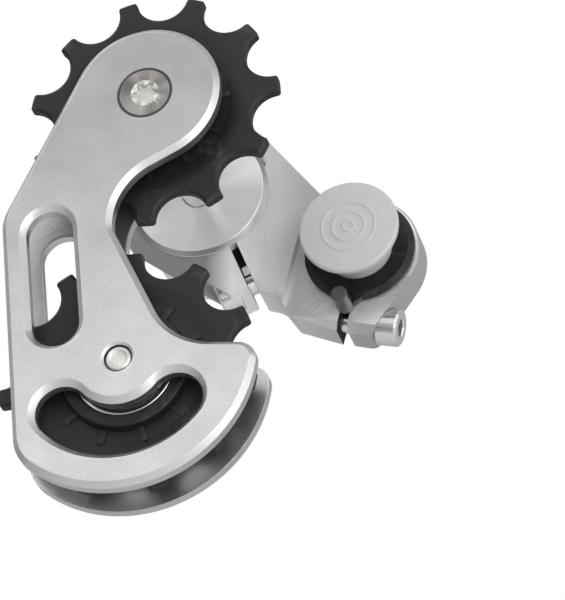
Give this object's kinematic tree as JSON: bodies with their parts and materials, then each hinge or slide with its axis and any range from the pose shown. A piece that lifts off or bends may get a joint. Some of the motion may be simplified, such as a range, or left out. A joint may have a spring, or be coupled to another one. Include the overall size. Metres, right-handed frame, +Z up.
{
  "type": "bicycle chain tensioner",
  "caption": "Single-arm rear chain tensioner with a sprung two-pulley cage between machined plates, hung on a split clamp round the hanger collar.",
  "frame": {"origin": "on the hanger bolt's axis, in the plane of the collar's seat face", "axes": "+Y along the hanger bolt, away from the wheel; +Z up; +X from the cage towards the hanger"},
  "size_m": [0.069, 0.0565, 0.1005],
  "materials": {
    "plate_aluminium": "fine brushed, machined chamfers",
    "arm_aluminium": "bead blasted and milled",
    "turned_aluminium": "polished, turned",
    "pulley_plastic": "moulded, slightly satin",
    "black_anodised": "satin black anodised",
    "screw_steel": "turned stainless",
    "plated_steel": "bright zinc plated",
    "bearing_steel": "ground",
    "seal_rubber": "matt",
    "spring_steel": "oiled",
    "bush_bronze": "sintered bronze",
    "clear_cap_plastic": "milky, translucent, moulded"
  },
  "bodies": {
    "hanger_mount": {"hanger_collar": "black_anodised", "stop_pin": "black_anodised", "hanger_bolt": "screw_steel", "hanger_bolt_washer": "bearing_steel", "hanger_bolt_circlip": "spring_steel"},
    "arm": {"arm_body": "arm_aluminium", "cage_clamp_bolt": "plated_steel", "hanger_clamp_bolt": "plated_steel"},
    "spring_unit": {"spring_housing": "turned_aluminium", "housing_rear_cap": "turned_aluminium", "housing_end_plug": "black_anodised", "pivot_bushes": "bush_bronze", "cage_return_spring": "spring_steel"},
    "cage": {"near_cage_plate": "plate_aluminium", "far_cage_plate": "plate_aluminium", "guide_bearing_inner_race": "bearing_steel", "tension_bearing_inner_race": "bearing_steel", "guide_spacer_bushes": "bearing_steel", "tension_spacer_bushes": "bearing_steel", "guide_pulley_screw": "screw_steel", "tension_pulley_bolt": "screw_steel", "cage_pivot_shaft": "screw_steel", "pivot_thrust_washer": "bearing_steel", "pivot_circlip": "spring_steel"},
    "guide_wheel": {"guide_pulley": "pulley_plastic", "guide_bearing_outer_race": "bearing_steel", "guide_bearing_seals": "seal_rubber"},
    "tension_wheel": {"tension_pulley": "pulley_plastic", "tension_bearing_outer_race": "bearing_steel", "tension_bearing_seals": "seal_rubber"},
    "guide_ball_set": {"guide_bearing_balls": "bearing_steel"},
    "tension_ball_set": {"tension_bearing_balls": "bearing_steel"},
    "cap": {"thread_cap": "clear_cap_plastic"}
  },
  "joints": [
    {"name": "arm_swing", "type": "hinge", "parent": "hanger_mount", "child": "arm", "pos_m": [0, 0, 0], "axis": [0, 1, 0], "range_deg": [-35, 35]},
    {"name": "chainline_slide", "type": "slide", "parent": "arm", "child": "spring_unit", "axis": [0, 1, 0], "range_m": [-0.005, 0.005]},
    {"name": "cage_pivot", "type": "hinge", "parent": "spring_unit", "child": "cage", "pos_m": [-0.03, 0, 0.0154], "axis": [0, 1, 0], "range_deg": [0, 110], "stiffness_Nm_per_rad": 0.4, "springref_deg": -57.3},
    {"name": "guide_spin", "type": "hinge", "parent": "cage", "child": "guide_wheel", "pos_m": [-0.03, 0, 0.0154], "axis": [0, 1, 0], "continuous": true},
    {"name": "tension_spin", "type": "hinge", "parent": "cage", "child": "tension_wheel", "pos_m": [-0.03461, 0, -0.0373], "axis": [0, 1, 0], "continuous": true},
    {"name": "guide_ball_roll", "type": "hinge", "parent": "cage", "child": "guide_ball_set", "pos_m": [-0.03, 0, 0.0154], "axis": [0, 1, 0], "continuous": true},
    {"name": "tension_ball_roll", "type": "hinge", "parent": "cage", "child": "tension_ball_set", "pos_m": [-0.03461, 0, -0.0373], "axis": [0, 1, 0], "continuous": true},
    {"name": "cap_pull", "type": "slide", "parent": "hanger_mount", "child": "cap", "axis": [0, -1, 0], "range_m": [0, 0.014]}
  ],
  "couplings": [
    {"joint": "guide_ball_roll", "follows": "guide_spin", "ratio": 0.58156},
    {"joint": "tension_ball_roll", "follows": "tension_spin", "ratio": 0.58156}
  ]
}
